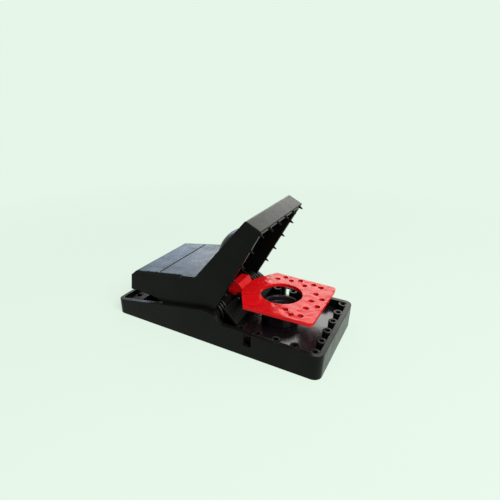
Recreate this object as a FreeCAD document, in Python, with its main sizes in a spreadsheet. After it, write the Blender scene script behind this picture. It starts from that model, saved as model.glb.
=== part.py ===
"""Snap mouse trap with a jaw and press lever in one moulding, a red trigger pedal and a bait cup.

Millimetres. +X points to the pedal end, -Y is the near side, +Z is up.
The origin is the middle of the underside, and the trap stands set, with its jaw open.
"""
import FreeCAD, Part
import math
import os

import Sketcher

# Driving dimensions
SIZES = {
    # Base tray
    "tray_length": 98.0,
    "tray_width": 45.0,
    "tray_corner": 3.4,
    "tray_wall": 2.0,
    "tray_floor": 2.0,
    "rim_height": 10.5,
    "rear_height": 6.6,
    "deck_height": 6.1,
    "deck_reach": 10.0,
    "deck_plate": 2.0,
    "recess_length": 5.6,
    "recess_width": 9.4,
    "recess_depth": 0.6,
    "screw_hole_radius": 1.2,
    "screw_boss_radius": 2.9,
    "screw_side_inset": 9.55,
    "ear_peak_x": 3.3,
    "ear_peak_height": 16.1,
    "ear_rounding": 10.4,
    "ledge_rear_x": 7.5,
    "ledge_front_x": 17.3,
    "ledge_height": 11.0,
    "window_x": 19.5,
    "window_length": 3.4,
    "window_bottom": 4.8,
    "window_top": 10.0,
    # Teeth of the jaw and the sockets that take them
    "tooth_length": 1.5,
    "tooth_root_depth": 1.2,
    "tooth_root_radius": 0.9,
    "tooth_tip_radius": 0.2,
    "tooth_front_inset": 3.6,
    "tooth_side_inset": 3.25,
    "tooth_columns": 5,
    "tooth_rows": 6,
    "socket_radius": 1.0,
    "socket_wall": 0.85,
    "socket_drop": 0.25,
    "socket_depth": 4.0,
    # Main axle and the open angle of the jaw
    "axle_x": 0.5,
    "axle_height": 11.4,
    "axle_radius": 1.5,
    "axle_bore_depth": 1.3,
    "open_angle": 62.3,
    # Jaw with its press lever
    "jaw_wall": 1.7,
    "rim_offset": 0.8,
    "nose_reach": 46.3,
    "nose_height": 6.9,
    "nose_draft": 0.1,
    "nose_rounding": 0.7,
    "back_rise": 13.1,
    "back_reach": 11.8,
    "hub_radius": 4.6,
    "hub_tube_radius": 4.2,
    "lever_crest_x": -38.4,
    "lever_crest_height": 22.65,
    "lever_crest_rounding": 1.0,
    "lever_rear_x": -40.1,
    "lever_rear_height": 20.9,
    "lever_toe_x": -41.25,
    "lever_toe_height": 13.4,
    "lever_toe_length": 7.0,
    "lever_edge_x": -30.0,
    "lever_edge_height": 13.0,
    "bevel": 1.4,
    "bevel_front_x": -13.6,
    "bevel_fade": 2.2,
    "notch_x": -31.7,
    "notch_pitch": 5.1,
    "notch_width": 0.8,
    "notch_reach": 1.9,
    "notch_drop": 1.0,
    "groove_x": -25.3,
    "groove_width": 0.6,
    "groove_depth": 0.3,
    "groove_side_inset": 2.4,
    "dome_position": 23.5,
    "dome_radius": 10.0,
    "dome_height": 4.7,
    # Sear on the hub and the latch block of the pedal
    "sear_radius": 4.9,
    "sear_width": 8.4,
    "sear_start": 97.5,
    "sear_span": 48.0,
    "latch_width": 9.6,
    "latch_lip_x": 0.9,
    "latch_lip_height": 16.14,
    "latch_lip_length": 3.2,
    "latch_lip_rise": 1.0,
    "latch_top_height": 21.2,
    "latch_top_fall": 0.2,
    "latch_rear_lean": 1.7,
    "latch_front_lean": 1.6,
    "latch_root": 1.2,
    "latch_heel": 1.4,
    # Trigger pedal
    "pivot_x": 7.2,
    "pivot_height": 15.2,
    "pin_radius": 0.9,
    "pin_length": 14.0,
    "lug_radius": 2.0,
    "lug_width": 2.0,
    "pedal_top": 19.05,
    "pedal_plate": 1.5,
    "pedal_front_x": 42.45,
    "pedal_rear_x": 8.3,
    "pedal_side_inset": 5.5,
    "pedal_taper": 1.2,
    "pedal_neck_width": 13.0,
    "pedal_shoulder_x": 14.6,
    "pedal_corner": 1.6,
    "pedal_hole_radius": 8.7,
    "pedal_hole_lead": 0.25,
    "perforation_radius": 1.15,
    "perforation_pitch": 6.3,
    "perforation_margin": 2.5,
    # Guard in front of the springs
    "guard_side_gap": 1.0,
    "guard_plate": 1.4,
    "guard_top_x": 6.6,
    "guard_top_height": 15.9,
    "guard_front_x": 12.4,
    # Bait cup
    "cup_x": 24.1,
    "cup_radius": 7.9,
    "cup_wall": 0.8,
    "cup_top": 17.3,
    "cup_rim_flare": 0.4,
    "cup_well_floor": 14.0,
    "cup_flange_radius": 9.6,
    "cup_flange_plate": 1.1,
    "cup_grip_width": 1.6,
    "cup_grip_height": 3.0,
    # Springs
    "spring_wire": 1.2,
    "spring_coil_radius": 5.1,
    "spring_pitch": 1.74,
    "spring_leg_reach": 15.5,
    # Fits
    "running_fit": 0.05,
    "side_gap": 0.3,
    "cup_gap": 0.25,
}


class Size:
    """A length or angle as a number, with the expression that gives it from the sheet."""

    def __init__(self, value, text):
        self.value = float(value)
        self.text = text

    def _join(self, other, sign, value):
        return Size(value, "(%s %s %s)" % (self.text, sign, other.text))

    def __add__(self, other):
        other = as_size(other)
        return self._join(other, "+", self.value + other.value)

    def __sub__(self, other):
        other = as_size(other)
        return self._join(other, "-", self.value - other.value)

    def __mul__(self, other):
        other = as_size(other)
        return self._join(other, "*", self.value * other.value)

    def __truediv__(self, other):
        other = as_size(other)
        return self._join(other, "/", self.value / other.value)

    def __radd__(self, other):
        return as_size(other) + self

    def __rsub__(self, other):
        return as_size(other) - self

    def __rmul__(self, other):
        return as_size(other) * self

    def __neg__(self):
        return Size(-self.value, "(0 - %s)" % self.text)


def as_size(number):
    """Turns a plain number into a Size, and leaves a Size as it is."""
    if isinstance(number, Size):
        return number
    return Size(number, repr(float(number)))


def size(name):
    """A driving dimension, read from the sheet."""
    return Size(SIZES[name], "Sizes." + name)


def sine(angle):
    """Sine of an angle in degrees."""
    return Size(math.sin(math.radians(angle.value)), "sin(%s)" % angle.text)


def cosine(angle):
    """Cosine of an angle in degrees."""
    return Size(math.cos(math.radians(angle.value)), "cos(%s)" % angle.text)


# How far a cut runs past a surface, and how deep one feature is rooted in the next
PAST = 1.0
ROOTED = 0.5
# A wall under a gentle slope, measured upright, against its own thickness
UPRIGHT = 1.02

doc = FreeCAD.newDocument("MouseTrap")
sheet = doc.addObject("Spreadsheet::Sheet", "Sizes")
for row, (alias, number) in enumerate(SIZES.items(), start=1):
    sheet.set("A%d" % row, alias)
    sheet.set("B%d" % row, str(number))
    sheet.setAlias("B%d" % row, alias)
doc.recompute()


# Drawing helpers

def new_body(name):
    """Starts the body of one piece, whose label names its file."""
    body = doc.addObject("PartDesign::Body", name)
    body.Label = name
    return body


def plane_of(body, role):
    """One of the body's own origin planes."""
    return next(f for f in body.Origin.OriginFeatures if f.Role == role)


def new_sketch(body, name, role="XZ_Plane", lift=None):
    """Starts a sketch on an origin plane, lifted along the plane's normal."""
    sketch = body.newObject("Sketcher::SketchObject", name)
    sketch.AttachmentSupport = (plane_of(body, role), [""])
    sketch.MapMode = "FlatFace"
    if lift is not None:
        sketch.AttachmentOffset = FreeCAD.Placement(
            FreeCAD.Vector(0, 0, lift.value), FreeCAD.Rotation())
        sketch.setExpression(".AttachmentOffset.Base.z", lift.text)
    return sketch


def bind(sketch, kind, places, amount):
    """Adds one dimension to a sketch and ties it to the sheet."""
    index = sketch.addConstraint(Sketcher.Constraint(kind, *places, amount.value))
    sketch.setExpression("Constraints[%d]" % index, amount.text)


def pin_point(sketch, element, place, across, up):
    """Ties a point of the sketch to its two distances from the origin."""
    bind(sketch, "DistanceX", (-1, 1, element, place), across)
    bind(sketch, "DistanceY", (-1, 1, element, place), up)


def draw_outline(sketch, corners):
    """Draws a closed outline. A corner is (across, up) or (across, up, rounding)."""
    points = [FreeCAD.Vector(as_size(c[0]).value, as_size(c[1]).value, 0) for c in corners]
    count = len(corners)
    ends = []
    for i in range(count):
        back = (points[i - 1] - points[i]).normalize()
        onward = (points[(i + 1) % count] - points[i]).normalize()
        trim = 0.0
        if len(corners[i]) == 3:
            trim = as_size(corners[i][2]).value / math.tan(back.getAngle(onward) / 2)
        ends.append((points[i] + back * trim, points[i] + onward * trim, back, onward))
    lines = []
    for i in range(count):
        start, finish = ends[i][1], ends[(i + 1) % count][0]
        lines.append(sketch.addGeometry(Part.LineSegment(start, finish), False))
    for i in range(count):
        before, after = lines[i - 1], lines[i]
        across, up = as_size(corners[i][0]), as_size(corners[i][1])
        if len(corners[i]) == 2:
            sketch.addConstraint(Sketcher.Constraint("Coincident", before, 2, after, 1))
            pin_point(sketch, after, 1, across, up)
            continue
        round_corner(sketch, points[i], ends[i], before, after, as_size(corners[i][2]))
        corner = sketch.addGeometry(Part.Point(points[i]), True)
        sketch.addConstraint(Sketcher.Constraint("PointOnObject", corner, 1, before))
        sketch.addConstraint(Sketcher.Constraint("PointOnObject", corner, 1, after))
        pin_point(sketch, corner, 1, across, up)


def round_corner(sketch, point, end, before, after, rounding):
    """Joins two lines of an outline with a tangent arc."""
    first, second, back, onward = end
    middle = (back + onward).normalize()
    reach = rounding.value / math.sin(back.getAngle(onward) / 2)
    centre = point + middle * reach
    turns_left = (onward.x * back.y - onward.y * back.x) > 0
    start, finish = (first, second) if turns_left else (second, first)
    circle = Part.Circle(centre, FreeCAD.Vector(0, 0, 1), rounding.value)
    low = math.atan2(start.y - centre.y, start.x - centre.x)
    high = math.atan2(finish.y - centre.y, finish.x - centre.x)
    arc = sketch.addGeometry(Part.ArcOfCircle(circle, low, high), False)
    into, out = (1, 2) if turns_left else (2, 1)
    sketch.addConstraint(Sketcher.Constraint("Tangent", before, 2, arc, into))
    sketch.addConstraint(Sketcher.Constraint("Tangent", arc, out, after, 1))
    bind(sketch, "Radius", (arc,), rounding)


def draw_circle(sketch, across, up, radius):
    """Draws one circle."""
    across, up = as_size(across), as_size(up)
    centre = FreeCAD.Vector(across.value, up.value, 0)
    circle = sketch.addGeometry(
        Part.Circle(centre, FreeCAD.Vector(0, 0, 1), radius.value), False)
    bind(sketch, "Radius", (circle,), radius)
    pin_point(sketch, circle, 3, across, up)


def rectangle(low_x, low_y, high_x, high_y):
    """Corners of an upright rectangle."""
    return [(low_x, low_y), (high_x, low_y), (high_x, high_y), (low_x, high_y)]


def extrude(body, kind, name, sketch, length, across=False, reverse=False):
    """Pads or pockets a sketch, and checks that it changes the body the right way."""
    before = body.Shape.Volume if body.Tip and not body.Shape.isNull() else 0.0
    feature = body.newObject("PartDesign::" + kind, name)
    feature.Profile = sketch
    feature.setExpression("Length", length.text)
    feature.SideType = "Symmetric" if across else "One side"
    feature.Reversed = reverse
    body.Tip = feature
    doc.recompute()
    check_change(feature, before, kind in ("Pad", "AdditiveCone", "Revolution"))
    return feature


def check_change(feature, before, adds):
    """Stops if a feature has failed, or has added or cut nothing."""
    if "Invalid" in feature.State or "Error" in feature.State:
        raise RuntimeError("%s failed" % feature.Name)
    grown = feature.Shape.Volume - before
    if (grown <= 0) == adds:
        raise RuntimeError("%s changed the volume by %.3f" % (feature.Name, grown))


def pad_across(body, name, corners, width):
    """Pads a side outline by half the width to each side of the middle plane."""
    sketch = new_sketch(body, name + "_sketch")
    draw_outline(sketch, corners)
    return extrude(body, "Pad", name, sketch, width, across=True)


def cut_across(body, name, corners, width):
    """Cuts a side outline by half the width to each side of the middle plane."""
    sketch = new_sketch(body, name + "_sketch")
    draw_outline(sketch, corners)
    return extrude(body, "Pocket", name, sketch, width, across=True)


def cross_bar(body, kind, name, x, z, radius, width):
    """Pads or bores a round bar along Y, centred on the middle plane."""
    sketch = new_sketch(body, name + "_sketch")
    draw_circle(sketch, x, z, radius)
    return extrude(body, kind, name, sketch, width, across=True)


def plan_feature(body, kind, name, corners, low, high):
    """Pads or pockets a plan outline between two heights."""
    sketch = new_sketch(body, name + "_sketch", "XY_Plane", low)
    draw_outline(sketch, corners)
    return extrude(body, kind, name, sketch, high - low, reverse=kind == "Pocket")


def plan_circles(body, kind, name, centres, radius, low, high):
    """Pads or pockets a set of upright cylinders between two heights."""
    sketch = new_sketch(body, name + "_sketch", "XY_Plane", low)
    for x, y in centres:
        draw_circle(sketch, x, y, radius)
    return extrude(body, kind, name, sketch, high - low, reverse=kind == "Pocket")


def turn(body, kind, name, corners, centre_x):
    """Revolves an outline about an upright line at centre_x."""
    before = body.Shape.Volume if kind == "Groove" else 0.0
    sketch = new_sketch(body, name + "_sketch")
    axis = sketch.addGeometry(Part.LineSegment(
        FreeCAD.Vector(centre_x.value, 0, 0), FreeCAD.Vector(centre_x.value, 1, 0)), True)
    pin_point(sketch, axis, 1, centre_x, as_size(0))
    pin_point(sketch, axis, 2, centre_x, as_size(1))
    draw_outline(sketch, [(centre_x + c[0],) + tuple(c[1:]) for c in corners])
    feature = body.newObject("PartDesign::" + kind, name)
    feature.Profile = sketch
    feature.ReferenceAxis = (sketch, ["Axis0"])
    feature.Angle = 360
    body.Tip = feature
    doc.recompute()
    check_change(feature, before, kind == "Revolution")
    return feature


# Places that several pieces share

half_length = size("tray_length") / 2
half_width = size("tray_width") / 2
inner_half_width = half_width - size("tray_wall")
inner_front_x = half_length - size("tray_wall")
bay_rear_x = size("deck_reach") - half_length
floor_top = size("tray_floor")
axle_x = size("axle_x")
axle_z = size("axle_height")
open_angle = size("open_angle")
jaw_half_width = inner_half_width - size("side_gap")
jaw_width = 2 * jaw_half_width
jaw_inner_width = jaw_width - 2 * size("jaw_wall")
pivot_x = size("pivot_x")
pivot_z = size("pivot_height")
front_row_x = half_length - size("tooth_front_inset")
side_row_y = half_width - size("tooth_side_inset")
socket_top = size("rim_height") - size("socket_drop")


def opened(ahead, above):
    """A point of the closed jaw, measured from the axle, at its place on the open jaw."""
    x = axle_x + ahead * cosine(open_angle) - above * sine(open_angle)
    z = axle_z + ahead * sine(open_angle) + above * cosine(open_angle)
    return x, z


def tooth_places():
    """Plan places of the teeth when the jaw is closed: the front row, then both sides."""
    rows = int(SIZES["tooth_rows"])
    columns = int(SIZES["tooth_columns"])
    pitch = 2 * side_row_y / (rows - 1)
    sides = [pitch * (row - (rows - 1) / 2) for row in range(rows)]
    front = [(front_row_x, y) for y in sides]
    flanks = [(front_row_x - pitch * column, y)
              for column in range(1, columns) for y in (sides[0], sides[-1])]
    return front + flanks


def make_base_tray():
    """Moulded tray with ears for the axle, tooth sockets, spring guard and a screw deck."""
    body = new_body("base_tray")
    tall = size("ear_peak_height")
    corner = size("tray_corner")
    plan = [(-half_length, -half_width, corner), (half_length, -half_width, corner),
            (half_length, half_width, corner), (-half_length, half_width, corner)]
    plan_feature(body, "Pad", "tray_block", plan, as_size(0), tall)
    shape_side_line(body)
    hollow_tray(body)
    hollow_deck(body)
    add_sockets(body)
    add_spring_guard(body)
    cross_bar(body, "Pocket", "axle_bores", axle_x, axle_z,
              size("axle_radius") + size("running_fit"),
              2 * (inner_half_width + size("axle_bore_depth")))
    return body


def shape_side_line(body):
    """Cuts the tray down to its side line: rear slope, round ear, ledge and rim."""
    above = size("ear_peak_height") + PAST
    cut_across(body, "side_line", [
        (-half_length - PAST, size("rear_height")),
        (size("ear_peak_x"), size("ear_peak_height"), size("ear_rounding")),
        (size("ledge_rear_x"), size("ledge_height")),
        (size("ledge_front_x"), size("ledge_height")),
        (size("ledge_front_x"), size("rim_height")),
        (half_length + PAST, size("rim_height")),
        (half_length + PAST, above),
        (-half_length - PAST, above),
    ], size("tray_width") + 2 * PAST)


def hollow_tray(body):
    """Opens the tray, the deck's step, the seat of the bait cup and the side windows."""
    tall = size("ear_peak_height") + PAST
    inner_corner = size("tray_corner") - size("tray_wall")
    plan_feature(body, "Pocket", "tray_hollow", [
        (bay_rear_x, -inner_half_width), (inner_front_x, -inner_half_width, inner_corner),
        (inner_front_x, inner_half_width, inner_corner), (bay_rear_x, inner_half_width),
    ], floor_top, tall)
    deck_rear_x = size("tray_wall") - half_length
    plan_feature(body, "Pocket", "deck_step", [
        (deck_rear_x, -inner_half_width, inner_corner), (bay_rear_x + PAST, -inner_half_width),
        (bay_rear_x + PAST, inner_half_width), (deck_rear_x, inner_half_width, inner_corner),
    ], size("deck_height"), tall)
    cup_seat = size("cup_flange_plate") + size("cup_gap")
    plan_circles(body, "Pocket", "cup_opening", [(size("cup_x"), as_size(0))],
                 size("cup_radius") + size("cup_gap"), as_size(0), floor_top)
    plan_circles(body, "Pocket", "cup_flange_seat", [(size("cup_x"), as_size(0))],
                 size("cup_flange_radius") + size("cup_gap"), as_size(0), cup_seat)
    half_window = size("window_length") / 2
    cut_across(body, "side_windows", rectangle(
        size("window_x") - half_window, size("window_bottom"),
        size("window_x") + half_window, size("window_top")), size("tray_width") + 2 * PAST)


def hollow_deck(body):
    """Lightens the rear deck from below, and adds its screw bosses and recesses."""
    wall = size("tray_wall")
    low_x = wall - half_length
    high_x = bay_rear_x - wall
    underside = size("deck_height") - size("deck_plate")
    plan_feature(body, "Pocket", "deck_underside", rectangle(
        low_x, -inner_half_width, high_x, inner_half_width), as_size(0), underside)
    middle_x = (low_x + high_x) / 2
    screw_y = half_width - size("screw_side_inset")
    holes = [(middle_x, side * screw_y) for side in (-1, 1)]
    plan_circles(body, "Pad", "screw_bosses", holes, size("screw_boss_radius"),
                 as_size(0), underside)
    for name, side in (("recess_near", -1), ("recess_far", 1)):
        y = side * screw_y
        plan_feature(body, "Pocket", name, rectangle(
            middle_x - size("recess_length") / 2, y - size("recess_width") / 2,
            middle_x + size("recess_length") / 2, y + size("recess_width") / 2),
            size("deck_height") - size("recess_depth"), size("deck_height"))
    plan_circles(body, "Pocket", "screw_holes", holes, size("screw_hole_radius"),
                 as_size(0), size("deck_height"))


def add_sockets(body):
    """Stands a socket on the floor for each tooth of the jaw."""
    places = tooth_places()
    plan_circles(body, "Pad", "sockets", places,
                 size("socket_radius") + size("socket_wall"), floor_top, socket_top)
    plan_circles(body, "Pocket", "socket_bores", places, size("socket_radius"),
                 socket_top - size("socket_depth"), size("ledge_height"))


def add_spring_guard(body):
    """Adds the sloping guard in front of the springs, with lugs for the pedal's pin."""
    plate = size("guard_plate")
    top_x = size("guard_top_x")
    top_z = size("guard_top_height")
    front_x = size("guard_front_x")
    knee_z = top_z - (front_x - top_x)
    inner_knee_z = knee_z - plate * math.tan(math.radians(22.5))
    slant = plate * math.sqrt(0.5)
    root_z = floor_top - ROOTED
    pad_across(body, "spring_guard", [
        (front_x, root_z), (front_x, knee_z), (top_x, top_z),
        (top_x - slant, top_z - slant), (front_x - plate, inner_knee_z),
        (front_x - plate, root_z)], jaw_inner_width - 2 * size("guard_side_gap"))
    slot_width = size("latch_width") + 2 * size("side_gap")
    lug_span = slot_width + 2 * size("lug_width")
    lug = size("lug_radius")
    nearly_round = lug * 0.99
    pad_across(body, "pivot_lugs", [
        (pivot_x + lug * 2, root_z), (pivot_x + lug, pivot_z),
        (pivot_x + lug, pivot_z + lug, nearly_round), (pivot_x - lug, pivot_z + lug, nearly_round),
        (pivot_x - lug, pivot_z - lug / 2), (pivot_x, root_z)], lug_span)
    cut_across(body, "latch_slot", rectangle(
        pivot_x - 2 * lug, floor_top, front_x + PAST, pivot_z + 2 * lug), slot_width)
    cross_bar(body, "Pocket", "pivot_bores", pivot_x, pivot_z,
              size("pin_radius") + size("running_fit"),
              size("pin_length") + 2 * size("side_gap"))


def lever_top(x):
    """Height of the lever's top plane, which rises from its crest to the foot of the jaw's back."""
    foot_x, foot_z = opened(size("back_reach"), size("back_rise"))
    rise = (foot_z - size("lever_crest_height")) / (foot_x - size("lever_crest_x"))
    return foot_z - rise * (foot_x - x)


def lever_outline():
    """Side outline of the jaw and its lever in the set pose, clockwise from the rim."""
    nose = size("nose_reach")
    rim = -size("rim_offset")
    hub = size("hub_radius")
    edge_x = size("lever_edge_x")
    toe_z = size("lever_toe_height")
    return [
        opened(hub, rim),
        opened(nose, rim),
        opened(nose - size("nose_draft"), rim + size("nose_height")) + (size("nose_rounding"),),
        opened(size("back_reach"), size("back_rise")),
        (size("lever_crest_x"), size("lever_crest_height"), size("lever_crest_rounding")),
        (size("lever_rear_x"), size("lever_rear_height")),
        (size("lever_toe_x"), toe_z),
        (size("lever_toe_x") + size("lever_toe_length"), toe_z),
        (edge_x, size("lever_edge_height")),
        (axle_x - hub * 1.3, axle_z - hub, hub * 0.8),
        (axle_x + hub, axle_z - hub, hub * 0.98),
    ]


def inner_outline():
    """Side outline of the hollow under the jaw and the lever."""
    wall = size("jaw_wall")
    nose = size("nose_reach") - wall
    rim = -size("rim_offset")
    upright = wall * UPRIGHT
    crest_x = size("lever_crest_x") + wall / 2
    rear_x = size("lever_rear_x") + upright
    return [
        opened(nose, rim - size("nose_height")),
        opened(nose, rim),
        opened(nose - size("nose_draft"), rim + size("nose_height") - wall),
        opened(size("back_reach") + wall * 0.6, size("back_rise") - 1.1 * wall),
        (crest_x, lever_top(crest_x) - upright),
        (rear_x, size("lever_rear_height") - wall / 2),
        (size("lever_toe_x") + upright, floor_top),
        (axle_x + 2 * size("hub_radius"), floor_top),
    ]


def bevel_section(body, name, side, x, bevel):
    """Triangle that cuts one top edge of the lever at 45 degrees, at one place along it."""
    sketch = new_sketch(body, name, "YZ_Plane", x)
    edge_y = side * jaw_half_width
    top = lever_top(x)
    draw_outline(sketch, [
        (edge_y - side * (bevel + PAST), top + PAST),
        (edge_y + side * PAST, top - bevel - PAST),
        (edge_y + side * PAST, top + PAST)])
    return sketch


def bevel_lever(body, name, side):
    """Bevels one top edge of the lever; the bevel fades out before the jaw."""
    rear_x = size("lever_toe_x") - PAST
    front_x = size("bevel_front_x")
    before = body.Shape.Volume
    sections = [
        bevel_section(body, name + "_rear", side, rear_x, size("bevel")),
        bevel_section(body, name + "_front", side, front_x, size("bevel")),
        bevel_section(body, name + "_end", side, front_x + size("bevel_fade"), as_size(0))]
    loft = body.newObject("PartDesign::SubtractiveLoft", name)
    loft.Profile = sections[0]
    loft.Sections = sections[1:]
    loft.Ruled = True
    body.Tip = loft
    doc.recompute()
    check_change(loft, before, False)


def notch_lever(body, name, side):
    """Three small notches in one bevelled edge of the lever, and none beyond it."""
    inner_y = jaw_half_width - size("notch_reach")
    sketch = new_sketch(body, name + "_sketch", "XZ_Plane", -side * inner_y)
    half = size("notch_width") / 2
    for step in (-1, 0, 1):
        x = size("notch_x") + step * size("notch_pitch")
        draw_outline(sketch, rectangle(
            x - half, lever_top(x) - size("notch_drop"), x + half, lever_top(x) + PAST))
    extrude(body, "Pocket", name, sketch, size("notch_reach") + PAST, reverse=side < 0)


def dress_lever_top(body):
    """Bevels and notches both sides of the lever, and cuts the shallow groove across."""
    for side, word in ((-1, "near"), (1, "far")):
        bevel_lever(body, "bevel_" + word, side)
        notch_lever(body, "notches_" + word, side)
    x = size("groove_x")
    half = size("groove_width") / 2
    cut_across(body, "lever_groove", rectangle(
        x - half, lever_top(x) - size("groove_depth"), x + half, lever_top(x) + PAST),
        jaw_width - 2 * size("groove_side_inset"))


def make_jaw_lever():
    """Jaw, press lever and hub in one moulding, with the teeth on the rim."""
    body = new_body("jaw_lever")
    pad_across(body, "jaw_block", lever_outline(), jaw_width)
    cut_across(body, "jaw_hollow", inner_outline(), jaw_inner_width)
    dress_lever_top(body)
    cross_bar(body, "Pad", "hub_tube", axle_x, axle_z, size("hub_tube_radius"), jaw_width)
    add_sear(body)
    cross_bar(body, "Pocket", "hub_bore", axle_x, axle_z,
              size("axle_radius") + size("running_fit"), size("tray_width"))
    add_dome(body)
    add_teeth(body)
    return body


def add_sear(body):
    """Raised sector on the hub that the lip of the latch block holds back."""
    start = size("sear_start")
    finish = start + size("sear_span")
    root = size("hub_tube_radius") - ROOTED

    def at(radius, angle):
        return axle_x + radius * cosine(angle), axle_z + radius * sine(angle)

    steps = 4
    crest = [at(size("sear_radius"), start + size("sear_span") * (i / steps))
             for i in range(steps)]
    pad_across(body, "sear", [at(root, start)] + crest + [at(root, finish)],
               size("sear_width"))


def add_dome(body):
    """Round bulge in the jaw's back that clears the bait cup when the jaw is shut."""
    wall = size("jaw_wall")
    slope = (size("back_rise") + size("rim_offset") - size("nose_height")) / (
        size("nose_reach") - size("nose_draft") - size("back_reach"))
    fall = Size(math.degrees(math.atan(slope.value)), "(atan(%s) / 1 deg)" % slope.text)
    ahead = size("dome_position")
    above = size("back_rise") - slope * (ahead - size("back_reach"))
    x, z = opened(ahead, above)
    tilt = open_angle - fall
    reach = size("dome_radius")
    rise = size("dome_height")
    ball = (reach * reach + rise * rise) / (2 * rise)
    for kind, name, radius in (("Revolution", "dome", ball), ("Groove", "dome_hollow", ball - wall)):
        before = body.Shape.Volume
        sketch = new_sketch(body, name + "_sketch")
        sketch.AttachmentOffset = FreeCAD.Placement(
            FreeCAD.Vector(x.value, z.value, 0),
            FreeCAD.Rotation(FreeCAD.Vector(0, 0, 1), tilt.value))
        sketch.setExpression(".AttachmentOffset.Base.x", x.text)
        sketch.setExpression(".AttachmentOffset.Base.y", z.text)
        sketch.setExpression(".AttachmentOffset.Rotation.Angle", tilt.text)
        draw_cap(sketch, radius, rise - ball, -wall / 2 if kind == "Revolution" else -2 * wall)
        feature = body.newObject("PartDesign::" + kind, name)
        feature.Profile = sketch
        feature.ReferenceAxis = (sketch, ["V_Axis"])
        feature.Angle = 360
        body.Tip = feature
        doc.recompute()
        check_change(feature, before, kind == "Revolution")


def draw_cap(sketch, radius, centre_height, bottom):
    """Half section of a spherical cap, cut off flat at the bottom."""
    drop = bottom - centre_height
    edge = math.sqrt(radius.value ** 2 - drop.value ** 2)
    top = FreeCAD.Vector(0, centre_height.value + radius.value, 0)
    centre = FreeCAD.Vector(0, centre_height.value, 0)
    side = FreeCAD.Vector(edge, bottom.value, 0)
    foot = FreeCAD.Vector(0, bottom.value, 0)
    circle = Part.Circle(centre, FreeCAD.Vector(0, 0, 1), radius.value)
    low = math.atan2(side.y - centre.y, side.x)
    arc = sketch.addGeometry(Part.ArcOfCircle(circle, low, math.pi / 2), False)
    base = sketch.addGeometry(Part.LineSegment(foot, side), False)
    axis = sketch.addGeometry(Part.LineSegment(top, foot), False)
    sketch.addConstraint(Sketcher.Constraint("Coincident", base, 2, arc, 1))
    sketch.addConstraint(Sketcher.Constraint("Coincident", arc, 2, axis, 1))
    sketch.addConstraint(Sketcher.Constraint("Coincident", axis, 2, base, 1))
    sketch.addConstraint(Sketcher.Constraint("Vertical", axis))
    sketch.addConstraint(Sketcher.Constraint("Horizontal", base))
    pin_point(sketch, arc, 3, as_size(0), centre_height)
    pin_point(sketch, base, 1, as_size(0), bottom)
    bind(sketch, "Radius", (arc,), radius)


def add_teeth(body):
    """Sets the conical teeth along the rim, square to it."""
    root = size("tooth_root_depth")
    rim = -size("rim_offset")
    before = body.Shape.Volume
    for index, (x, y) in enumerate(tooth_places(), start=1):
        place_x, place_z = opened(x - axle_x, rim + root)
        length = size("tooth_length") + root
        tooth = body.newObject("PartDesign::AdditiveCone", "tooth_%02d" % index)
        tooth.AttachmentSupport = (plane_of(body, "XY_Plane"), [""])
        tooth.MapMode = "FlatFace"
        tooth.AttachmentOffset = FreeCAD.Placement(
            FreeCAD.Vector(place_x.value, y.value, place_z.value),
            FreeCAD.Rotation(FreeCAD.Vector(0, 1, 0), 180 - open_angle.value))
        tooth.setExpression(".AttachmentOffset.Base.x", place_x.text)
        tooth.setExpression(".AttachmentOffset.Base.y", y.text)
        tooth.setExpression(".AttachmentOffset.Base.z", place_z.text)
        tooth.setExpression(".AttachmentOffset.Rotation.Angle", (180 - open_angle).text)
        tooth.setExpression("Radius1", size("tooth_root_radius").text)
        tooth.setExpression("Radius2", size("tooth_tip_radius").text)
        tooth.setExpression("Height", length.text)
        body.Tip = tooth
    doc.recompute()
    check_change(tooth, before, True)


def make_trigger_pedal():
    """Red pedal plate with its hole, perforations and the latch block behind it."""
    body = new_body("trigger_pedal")
    top = size("pedal_top")
    under = top - size("pedal_plate")
    half = half_width - size("pedal_side_inset")
    front_half = half - size("pedal_taper")
    neck = size("pedal_neck_width") / 2
    front = size("pedal_front_x")
    shoulder = size("pedal_shoulder_x")
    corner = size("pedal_corner")
    rear = size("pedal_rear_x")
    plan_feature(body, "Pad", "pedal_plate", [
        (rear, -neck), (shoulder, -half), (front, -front_half, corner),
        (front, front_half, corner), (shoulder, half), (rear, neck)], under, top)
    hole_x = size("cup_x") - size("pedal_hole_lead")
    plan_circles(body, "Pocket", "pedal_hole", [(hole_x, as_size(0))],
                 size("pedal_hole_radius"), under, top)
    lip_x = size("latch_lip_x")
    lip_z = size("latch_lip_height")
    boss = size("lug_radius") + 0.1
    block_top = size("latch_top_height")
    block_front_x = rear - ROOTED
    rounding = size("latch_top_fall") * 2
    pad_across(body, "latch_block", [
        (rear + size("latch_root"), top), (block_front_x, top),
        (block_front_x - size("latch_front_lean"), block_top, rounding),
        (lip_x + size("latch_rear_lean"), block_top - size("latch_top_fall"), rounding),
        (lip_x, lip_z),
        (lip_x + size("latch_lip_length"), lip_z - size("latch_lip_rise")),
        (pivot_x - size("latch_heel"), pivot_z - boss, boss / 2),
        (pivot_x + boss, pivot_z - boss, boss * 0.9), (pivot_x + boss, under)],
        size("latch_width"))
    plan_circles(body, "Pocket", "perforations", perforation_places(hole_x, front, half),
                 size("perforation_radius"), under, top)
    cross_bar(body, "Pocket", "pivot_hole", pivot_x, pivot_z,
              size("pin_radius") + size("running_fit"), size("tray_width"))
    return body


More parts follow.
